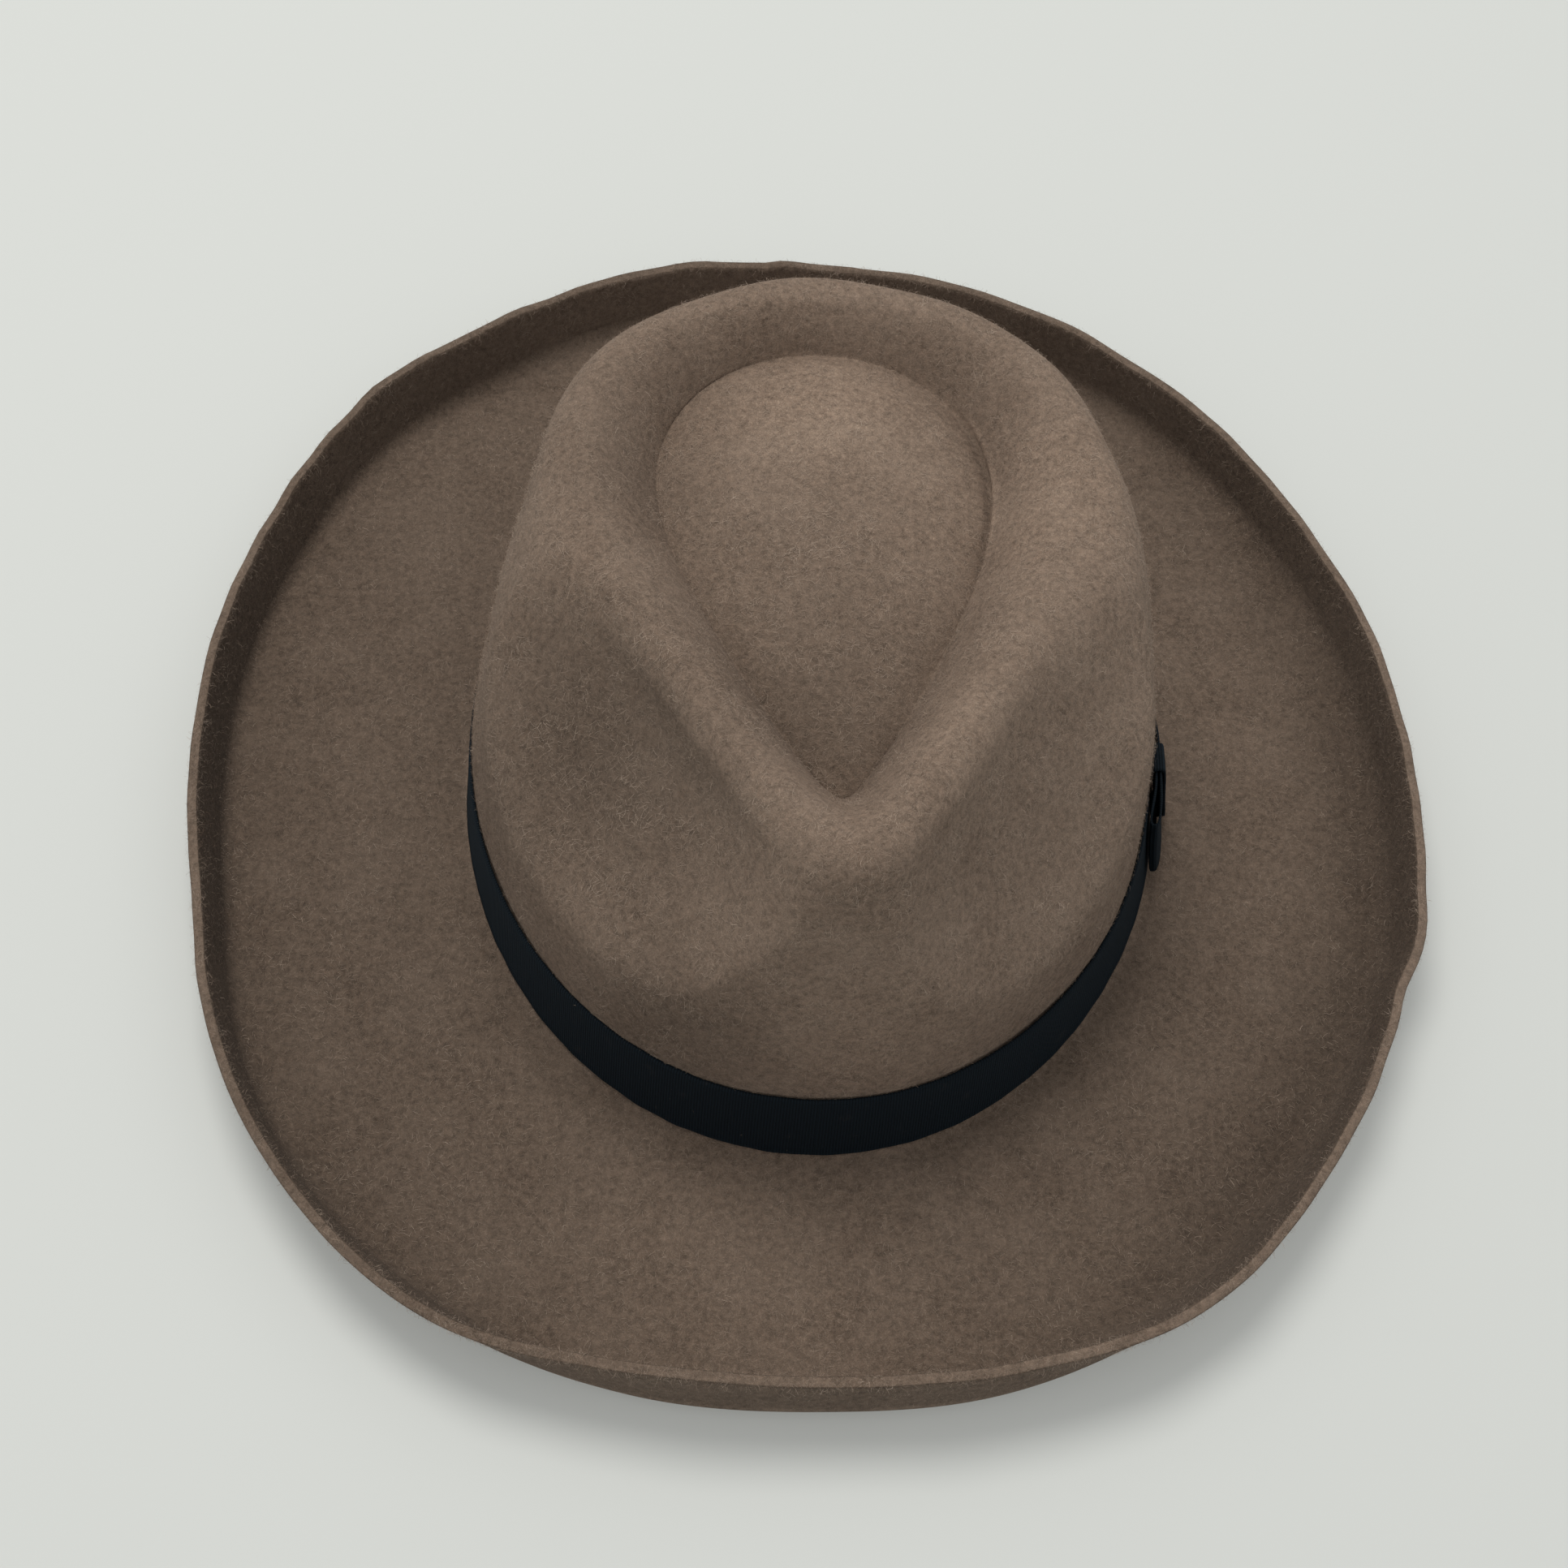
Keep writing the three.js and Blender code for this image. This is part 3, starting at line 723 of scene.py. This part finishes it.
def wool_hairs(name, felt_piece, tree, **values):
    """Loose hairs on one part of the felt, as a plain mesh of its own."""
    carrier = bpy.data.objects.new(name + "_carrier", felt_piece.data)
    bpy.context.scene.collection.objects.link(carrier)
    nodes = carrier.modifiers.new(name, "NODES")
    nodes.node_group = tree
    for item in tree.interface.items_tree:
        label = item.name.replace(" ", "_").lower()
        if item.in_out == "INPUT" and label in values:
            nodes[item.identifier] = values[label]
    ready = carrier.evaluated_get(bpy.context.evaluated_depsgraph_get())
    mesh = bpy.data.meshes.new_from_object(ready)
    carrier.modifiers.remove(nodes)
    bpy.data.objects.remove(carrier)
    mesh.name = name
    piece = bpy.data.objects.new(name, mesh)
    bpy.context.scene.collection.objects.link(piece)
    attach(piece, "root")


def off_wall(t, height, distance):
    """A point beside the crown wall: turn, height above the floor and distance off the felt."""

    def wall_at(turn, level):
        return wall_point(turn, share_of_height(turn, level))

    normal = -surface_normal(wall_at, t, height)
    return wall_at(t, height) + normal * np.asarray(distance)[..., None]


def ribbon_ring(name, node, middle, loops, heights, material, turned=False):
    """A closed piece of ribbon from its face loops and then its back loops; middle measures it."""
    steps = np.linalg.norm(middle - np.roll(middle, -1, axis=0), axis=-1)
    along = np.concatenate([[0], np.cumsum(steps)]) * MM
    across = np.concatenate([heights, heights[::-1], heights[:1]]) * MM
    faces = loop_faces(len(loops), len(middle), closed=True)
    flow = flow_of(len(loops), len(middle), along, across)
    if turned:
        faces = [face[::-1] for face in faces]
        flow = flow.reshape(-1, 4, 2)[:, ::-1].reshape(-1, 2)
    piece = add_piece(name, np.concatenate(loops), faces, material, "ribbon", flow)
    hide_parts(node)


# Height of the ribbon's foot, distance of its face off the felt, thickness of one layer of the bow
# as it shows, and thickness of two layers laid flat
RIBBON_FOOT = FELT_THICKNESS + RIBBON_LIFT
RIBBON_OUTER = FIT_GAP + RIBBON_THICKNESS
RIBBON_CLOTH = RIBBON_THICKNESS * 0.75
RIBBON_STACK = 2 * RIBBON_THICKNESS + FIT_GAP

# Rows of the band, the unevenness of its edges and of its upper half, and its thinned rims
BAND_SEGMENTS = 900
BAND_ROWS = 16
BAND_EDGE_WOBBLE = 0.1
BAND_EDGE_WOBBLE_SIZE = 9.0
BAND_LOOSE = 0.08
BAND_LOOSE_SIZE = 34.0
BAND_RIM_THINNING = 0.12
BAND_RIM_SHARPNESS = 40


def ribbon_band(material):
    """The ribbon round the crown: a thin closed ring with soft edges."""
    t = meridian_turns(BAND_SEGMENTS)
    middle = off_wall(t, RIBBON_FOOT + RIBBON_WIDTH / 2, RIBBON_OUTER)
    edge = BAND_EDGE_WOBBLE * wave_noise(middle, BAND_EDGE_WOBBLE_SIZE, seed=51)
    loose = BAND_LOOSE * wave_noise(middle, BAND_LOOSE_SIZE, seed=53)
    face, back = [], []
    for share in np.linspace(1, 0, BAND_ROWS):
        height = RIBBON_FOOT + RIBBON_WIDTH * share + edge * (share**6 - (1 - share) ** 6)
        rim = math.exp(-min(share, 1 - share) * BAND_RIM_SHARPNESS)
        stand = RIBBON_OUTER - BAND_RIM_THINNING * rim + loose * share**2
        face.append(off_wall(t, height, stand))
        back.append(off_wall(t, height, np.full_like(t, FIT_GAP)))
    heights = np.linspace(0, RIBBON_WIDTH, BAND_ROWS)
    ribbon_ring("hat_ribbon", "ribbon_band", middle, face + back[::-1], heights, material)


def beside_band(along, height, distance):
    """A point beside the band: distance along it from the bow's centre, height, distance off it."""
    centre = math.radians(BOW_TURN)
    pace = math.hypot(CROWN_HALF_WIDTH * math.cos(centre), CROWN_HALF_LENGTH * math.sin(centre))
    along, height, distance = np.broadcast_arrays(along, height, distance)
    return off_wall(centre + along / pace, height, RIBBON_OUTER + distance)


# Points and rows of the bow's loops and knot, how square their outlines are, how far a loop stays
# shut beside the knot, and its unevenness
LOOP_POINTS = 120
LOOP_ROWS = 20
LOOP_SQUARENESS = 0.5
LOOP_SHUT = 0.4
LOOP_WOBBLE = 0.25
LOOP_WOBBLE_SIZE = 12.0
KNOT_POINTS = 96
KNOT_ROWS = 12
KNOT_SQUARENESS = 0.4


def squared(value, squareness):
    return np.sign(value) * np.abs(value) ** squareness


def bow_loop(name, node, direction, reach, bulge, material, seed):
    """One half of the bow: a ribbon that leaves the knot, folds round its end and comes back."""
    length = reach - FIT_GAP
    foot = RIBBON_FOOT + RIBBON_THICKNESS + FIT_GAP
    top = RIBBON_FOOT + RIBBON_WIDTH - RIBBON_THICKNESS - FIT_GAP
    angle = np.linspace(0, FULL_TURN, LOOP_POINTS, endpoint=False)
    share = (1 + np.cos(angle)) / 2
    opening = np.sin(np.maximum(0, share * (1 + LOOP_SHUT) - LOOP_SHUT) * math.pi / 2) ** 2
    belly = squared(np.sin(angle), LOOP_SQUARENESS)

    def loop_at(height, inset):
        thickness = mix(RIBBON_STACK, bulge, opening)
        seat = mix(RIBBON_THICKNESS + 2 * FIT_GAP, FIT_GAP, opening)
        along = FIT_GAP + mix(inset, length - inset, share)
        distance = seat + thickness / 2 + (thickness / 2 - inset) * belly
        wave = wave_noise(points(along, height, distance), LOOP_WOBBLE_SIZE, seed)
        return beside_band(direction * along, height + LOOP_WOBBLE * wave * share, distance)

    levels = np.linspace(foot, top, LOOP_ROWS)
    middle = loop_at((foot + top) / 2, 0.0)
    loops = [loop_at(level, 0.0) for level in levels]
    loops += [loop_at(level, RIBBON_CLOTH) for level in levels[::-1]]
    ribbon_ring(name, node, middle, loops, levels - foot, material, turned=direction < 0)


def bow_knot(material):
    """The short wrap of ribbon round the middle of the bow."""
    half_depth = RIBBON_STACK / 2 + FIT_GAP + RIBBON_THICKNESS
    half_height = RIBBON_WIDTH / 2
    angle = np.linspace(0, FULL_TURN, KNOT_POINTS, endpoint=False)

    def loop_at(along, inset):
        out = squared(np.cos(angle), KNOT_SQUARENESS)
        up = squared(np.sin(angle), KNOT_SQUARENESS)
        height = RIBBON_FOOT + half_height + (half_height - inset) * up
        return beside_band(along, height, FIT_GAP + half_depth + (half_depth - inset) * out)

    rows = np.linspace(-KNOT_WIDTH / 2, KNOT_WIDTH / 2, KNOT_ROWS)
    loops = [loop_at(row, 0.0) for row in rows] + [loop_at(row, RIBBON_CLOTH) for row in rows[::-1]]
    ribbon_ring("bow_wrap", "bow_knot", loop_at(0.0, 0.0), loops, rows, material)


# Materials

def add_node(tree, kind, values=(), **settings):
    node = tree.nodes.new(kind)
    for key, value in settings.items():
        setattr(node, key, value)
    for key, value in dict(values).items():
        node.inputs[key].default_value = value
    return node


def join(tree, source, target):
    tree.links.new(source, target)


def shader_group(name, inputs, outputs):
    """An empty node group with its input and output nodes. inputs: (name, type, value)."""
    tree = bpy.data.node_groups.new(name, "ShaderNodeTree")
    for label, kind, value in inputs:
        socket = tree.interface.new_socket(label, in_out="INPUT", socket_type=kind)
        if value is not None:
            socket.default_value = value
    for label, kind in outputs:
        tree.interface.new_socket(label, in_out="OUTPUT", socket_type=kind)
    return tree, tree.nodes.new("NodeGroupInput"), tree.nodes.new("NodeGroupOutput")


def arithmetic(tree, operation, a, b=None, clamp=False):
    """A Math node; a and b are sockets or numbers. Gives its output socket."""
    node = add_node(tree, "ShaderNodeMath", operation=operation, use_clamp=clamp)
    for index, value in enumerate((a, b)):
        if isinstance(value, (int, float)):
            node.inputs[index].default_value = value
        elif value is not None:
            join(tree, value, node.inputs[index])
    return node.outputs[0]


def hair_lines_group():
    """Thin curly lines, as matted wool shows: the middle contour of a noise, at two sizes."""
    tree, given, result = shader_group(
        "matted_wool",
        (
            ("Vector", "NodeSocketVector", None),
            ("Hair Size", "NodeSocketFloat", 1500.0),
            ("Clump Size", "NodeSocketFloat", 620.0),
            ("Line Width", "NodeSocketFloat", 0.05),
        ),
        (("Hairs", "NodeSocketFloat"), ("Clumps", "NodeSocketFloat"), ("Height", "NodeSocketFloat")),
    )
    lines = []
    for part, stretch in enumerate(((1.0, 0.45, 1.0), (0.5, 1.0, 0.8), (1.0, 0.9, 0.45))):
        shift = (part * 3.1, 1.7, 0)
        place = add_node(tree, "ShaderNodeMapping", {"Scale": stretch, "Location": shift})
        noise = add_node(
            tree, "ShaderNodeTexNoise", {"Detail": 2.0, "Roughness": 0.55, "Distortion": 0.6}
        )
        join(tree, given.outputs["Vector"], place.inputs["Vector"])
        join(tree, place.outputs[0], noise.inputs["Vector"])
        join(tree, given.outputs["Hair Size"], noise.inputs["Scale"])
        above = arithmetic(tree, "SUBTRACT", noise.outputs["Fac"], 0.5)
        off_middle = arithmetic(tree, "ABSOLUTE", above)
        near = arithmetic(tree, "DIVIDE", off_middle, given.outputs["Line Width"])
        lines.append(arithmetic(tree, "SUBTRACT", 1.0, near, clamp=True))
    hairs = arithmetic(tree, "MAXIMUM", arithmetic(tree, "MAXIMUM", lines[0], lines[1]), lines[2])
    clumps = add_node(tree, "ShaderNodeTexNoise", {"Detail": 4.0, "Roughness": 0.6})
    join(tree, given.outputs["Vector"], clumps.inputs["Vector"])
    join(tree, given.outputs["Clump Size"], clumps.inputs["Scale"])
    high = arithmetic(tree, "MULTIPLY", hairs, 0.4)
    height = arithmetic(tree, "ADD", high, clumps.outputs["Fac"])
    join(tree, hairs, result.inputs["Hairs"])
    join(tree, clumps.outputs["Fac"], result.inputs["Clumps"])
    join(tree, height, result.inputs["Height"])
    return tree


def colour_blend(tree, share, first, second):
    """A Mix node for colours; first and second are sockets or colours. Gives its output socket."""
    node = add_node(tree, "ShaderNodeMix", data_type="RGBA")
    join(tree, share, node.inputs["Factor"])
    for index, value in ((6, first), (7, second)):
        if isinstance(value, tuple):
            node.inputs[index].default_value = (*value, 1)
        else:
            join(tree, value, node.inputs[index])
    return node.outputs[2]


def stretched(tree, value, low, high):
    """Spreads values from low..high over 0..1."""
    node = add_node(tree, "ShaderNodeMapRange", {"From Min": low, "From Max": high})
    join(tree, value, node.inputs["Value"])
    return node.outputs["Result"]


def new_material(name, **constants):
    material = bpy.data.materials.new(name)
    material.use_nodes = True
    shader = material.node_tree.nodes["Principled BSDF"]
    for label, value in constants.items():
        shader.inputs[label.replace("_", " ")].default_value = value
    return material, material.node_tree, shader


FELT_DARK = (0.080, 0.055, 0.039)
FELT_MIDDLE = (0.215, 0.150, 0.108)
FELT_LIGHT = (0.42, 0.32, 0.245)
FUZZ_LIGHT = (0.44, 0.345, 0.27)
RIBBON_DARK = (0.0016, 0.0034, 0.0052)
RIBBON_RIB_HIGHLIGHT = (0.0085, 0.0165, 0.024)
FLOOR_COLOUR = (0.50, 0.51, 0.485)
FLOOR_PALE = (0.6, 0.6, 0.58)
FLOOR_HALF_SIDE = 6.0


def felt_material(wool):
    """Brown wool felt: matted hairs over clumps, in soft patches."""
    material, tree, shader = new_material(
        "brown_wool_felt",
        Roughness=0.95,
        Sheen_Weight=0.1,
        Sheen_Roughness=0.45,
        Sheen_Tint=(0.62, 0.52, 0.44, 1),
        Specular_IOR_Level=0.12,
    )
    place = add_node(tree, "ShaderNodeTexCoord")
    fine = add_node(tree, "ShaderNodeGroup", node_tree=wool)
    join(tree, place.outputs["Object"], fine.inputs["Vector"])
    patches = add_node(tree, "ShaderNodeTexNoise", {"Scale": 42.0, "Detail": 5.0, "Roughness": 0.62})
    join(tree, place.outputs["Object"], patches.inputs["Vector"])
    clumps = stretched(tree, fine.outputs["Clumps"], 0.3, 0.66)
    ground = colour_blend(tree, clumps, FELT_DARK, FELT_MIDDLE)
    faded = arithmetic(tree, "MULTIPLY", stretched(tree, patches.outputs["Fac"], 0.3, 0.75), 0.22)
    worn = colour_blend(tree, faded, ground, FELT_LIGHT)
    shown = arithmetic(tree, "MULTIPLY", fine.outputs["Hairs"], 0.32)
    haired = colour_blend(tree, shown, worn, FELT_LIGHT)
    # The tone attribute scales the colour; it carries painted light and painted shade from the felt
    # body
    tone = add_node(tree, "ShaderNodeAttribute", attribute_name="tone")
    toned = add_node(tree, "ShaderNodeVectorMath", operation="SCALE")
    join(tree, haired, toned.inputs[0])
    join(tree, tone.outputs["Fac"], toned.inputs["Scale"])
    join(tree, toned.outputs["Vector"], shader.inputs["Base Color"])
    bump = add_node(tree, "ShaderNodeBump", {"Strength": 0.7, "Distance": 0.0005})
    join(tree, fine.outputs["Height"], bump.inputs["Height"])
    join(tree, bump.outputs["Normal"], shader.inputs["Normal"])
    return material


def fuzz_material(wool):
    """Loose pale hairs that stand off the felt."""
    material, tree, shader = new_material("loose_wool_hair", Roughness=0.8, Specular_IOR_Level=0.2)
    place = add_node(tree, "ShaderNodeTexCoord")
    fine = add_node(tree, "ShaderNodeGroup", {"Hair Size": 300.0, "Clump Size": 120.0}, node_tree=wool)
    join(tree, place.outputs["Object"], fine.inputs["Vector"])
    tone = stretched(tree, fine.outputs["Clumps"], 0.35, 0.65)
    join(tree, colour_blend(tree, tone, FELT_MIDDLE, FUZZ_LIGHT), shader.inputs["Base Color"])
    return material


RIB_PITCH = 0.72
THREAD_PITCH = 0.35


def ribbon_material(wool):
    """Matte black grosgrain: ribs across the ribbon with a painted highlight on their crests, a thread
    twist on each, a little dust.
    """
    material, tree, shader = new_material(
        "black_grosgrain",
        Roughness=0.75,
        Sheen_Weight=0.05,
        Sheen_Roughness=0.4,
        Sheen_Tint=(0.3, 0.5, 0.65, 1),
        Specular_IOR_Level=0.14,
    )
    lay = add_node(tree, "ShaderNodeUVMap", uv_map="lay")
    apart = add_node(tree, "ShaderNodeSeparateXYZ")
    join(tree, lay.outputs["UV"], apart.inputs[0])
    along = arithmetic(tree, "MULTIPLY", apart.outputs["X"], FULL_TURN / (RIB_PITCH * MM))
    wave = arithmetic(tree, "SINE", arithmetic(tree, "DIVIDE", along, 2.0))
    ribs = arithmetic(tree, "ABSOLUTE", wave)
    across = arithmetic(tree, "MULTIPLY", apart.outputs["Y"], FULL_TURN / (THREAD_PITCH * MM))
    threads = arithmetic(tree, "MULTIPLY", arithmetic(tree, "SINE", across), 0.12)
    place = add_node(tree, "ShaderNodeTexCoord")
    dust = add_node(tree, "ShaderNodeGroup", {"Hair Size": 500.0, "Clump Size": 160.0}, node_tree=wool)
    join(tree, place.outputs["Object"], dust.inputs["Vector"])
    # Painted highlight: the crests of the ribs are painted lighter than the grooves between them
    lit = arithmetic(tree, "MULTIPLY", ribs, 0.55)
    base = colour_blend(tree, lit, RIBBON_DARK, RIBBON_RIB_HIGHLIGHT)
    specks = arithmetic(tree, "MULTIPLY", stretched(tree, dust.outputs["Clumps"], 0.62, 0.9), 0.05)
    join(tree, colour_blend(tree, specks, base, FELT_LIGHT), shader.inputs["Base Color"])
    bump = add_node(tree, "ShaderNodeBump", {"Strength": 0.9, "Distance": 0.0002})
    join(tree, arithmetic(tree, "ADD", ribs, threads), bump.inputs["Height"])
    join(tree, bump.outputs["Normal"], shader.inputs["Normal"])
    return material


def floor_material():
    """Pale backdrop cloth with painted light: a faint glow of its own, though it is no lamp, keeps the
    shadow on it as weak as in daylight.
    """
    material, tree, shader = new_material(
        "pale_floor",
        Roughness=0.6,
        Specular_IOR_Level=0.2,
        Emission_Color=(0.98, 1.0, 0.96, 1),
        Emission_Strength=0.16,
    )
    place = add_node(tree, "ShaderNodeTexCoord")
    cloudy = add_node(tree, "ShaderNodeTexNoise", {"Scale": 3.0, "Detail": 3.0})
    join(tree, place.outputs["Object"], cloudy.inputs["Vector"])
    tone = arithmetic(tree, "MULTIPLY", cloudy.outputs["Fac"], 0.06)
    join(tree, colour_blend(tree, tone, FLOOR_COLOUR, FLOOR_PALE), shader.inputs["Base Color"])
    return material


# Stage

def add_floor():
    half = FLOOR_HALF_SIDE
    mesh = bpy.data.meshes.new("studio_floor")
    corners = [(-half, -half, 0), (half, -half, 0), (half, half, 0), (-half, half, 0)]
    mesh.from_pydata(corners, [], [(0, 1, 2, 3)])
    mesh.materials.append(floor_material())
    floor = bpy.data.objects.new("studio_floor", mesh)
    bpy.context.scene.collection.objects.link(floor)


def aimed(place, target, roll=0.0):
    """Matrix of a camera or light at place that looks at target."""
    back = (Vector(place) - Vector(target)).normalized()
    right = Vector((0, 0, 1)).cross(back).normalized()
    up = back.cross(right)
    turn = Matrix((right, up, back)).transposed().to_4x4()
    return Matrix.Translation(place) @ turn @ Matrix.Rotation(roll, 4, "Z")


def add_camera():
    camera = bpy.data.objects.new("photo_camera", bpy.data.cameras.new("photo_camera"))
    camera.data.sensor_width = SENSOR_WIDTH
    camera.data.lens = FOCAL_PIXELS / PHOTO_SIDE * SENSOR_WIDTH
    camera.data.clip_start = 0.01
    target = Vector(HAT_SHIFT.tolist()) * MM
    flat = math.cos(CAMERA_HEIGHT_ANGLE)
    direction = Vector(
        (
            -flat * math.sin(CAMERA_TURN),
            -flat * math.cos(CAMERA_TURN),
            math.sin(CAMERA_HEIGHT_ANGLE),
        )
    )
    place = target + direction * CAMERA_DISTANCE * MM
    wanted = Vector(
        (
            (HAT_PIXEL[0] - PHOTO_SIDE / 2) / FOCAL_PIXELS,
            -(HAT_PIXEL[1] - PHOTO_SIDE / 2) / FOCAL_PIXELS,
            -1,
        )
    )
    pan = wanted.rotation_difference(Vector((0, 0, -1))).to_matrix().to_4x4()
    camera.matrix_world = aimed(place, target, CAMERA_ROLL) @ pan
    bpy.context.scene.collection.objects.link(camera)
    bpy.context.scene.camera = camera


def add_area_light(name, place, size, watts, colour):
    lamp = bpy.data.lights.new(name, "AREA")
    lamp.shape = "DISK"
    lamp.size = size
    lamp.energy = watts
    lamp.color = colour
    light = bpy.data.objects.new(name, lamp)
    light.matrix_world = aimed(place, (0, 0, 0.04))
    bpy.context.scene.collection.objects.link(light)


def add_light():
    world = bpy.data.worlds.new("studio")
    world.use_nodes = True
    world.node_tree.nodes["Background"].inputs["Color"].default_value = (0.97, 0.99, 1.0, 1)
    world.node_tree.nodes["Background"].inputs["Strength"].default_value = 0.6
    bpy.context.scene.world = world
    add_area_light("window", (-0.3, 0.6, 1.85), 1.0, 20, (1.0, 0.985, 0.96))
    bpy.context.scene.view_settings.view_transform = "Standard"


wool_group = hair_lines_group()
felt = felt_material(wool_group)
ribbon = ribbon_material(wool_group)

add_camera()
add_light()
add_floor()
hat = felt_body(felt)
hairs = hair_tree(fuzz_material(wool_group))
for name, nap, density, shortest, longest, slant, seed in (
    ("crown_hairs", "crown_nap", 600000.0, 0.0008, 0.0021, 0.3, 3),
    ("crown_hairs_more", "crown_nap", 600000.0, 0.0008, 0.0021, 0.3, 4),
    ("brim_hairs", "brim_nap", 560000.0, 0.0007, 0.0018, 0.25, 5),
    ("cut_edge_hairs", "edge_nap", 2200000.0, 0.0006, 0.0017, 0.6, 7),
):
    wool_hairs(
        name,
        hat,
        hairs,
        where=nap,
        hairs_per_square_metre=density,
        shortest=shortest,
        longest=longest,
        slant=slant,
        seed=seed,
    )
ribbon_band(ribbon)
bow_loop("bow_loop_front", "bow_front_loop", -1, BOW_FRONT_REACH, BOW_FRONT_BULGE, ribbon, 61)
bow_loop("bow_loop_back", "bow_back_loop", 1, BOW_BACK_REACH, BOW_BACK_BULGE, ribbon, 67)
bow_knot(ribbon)
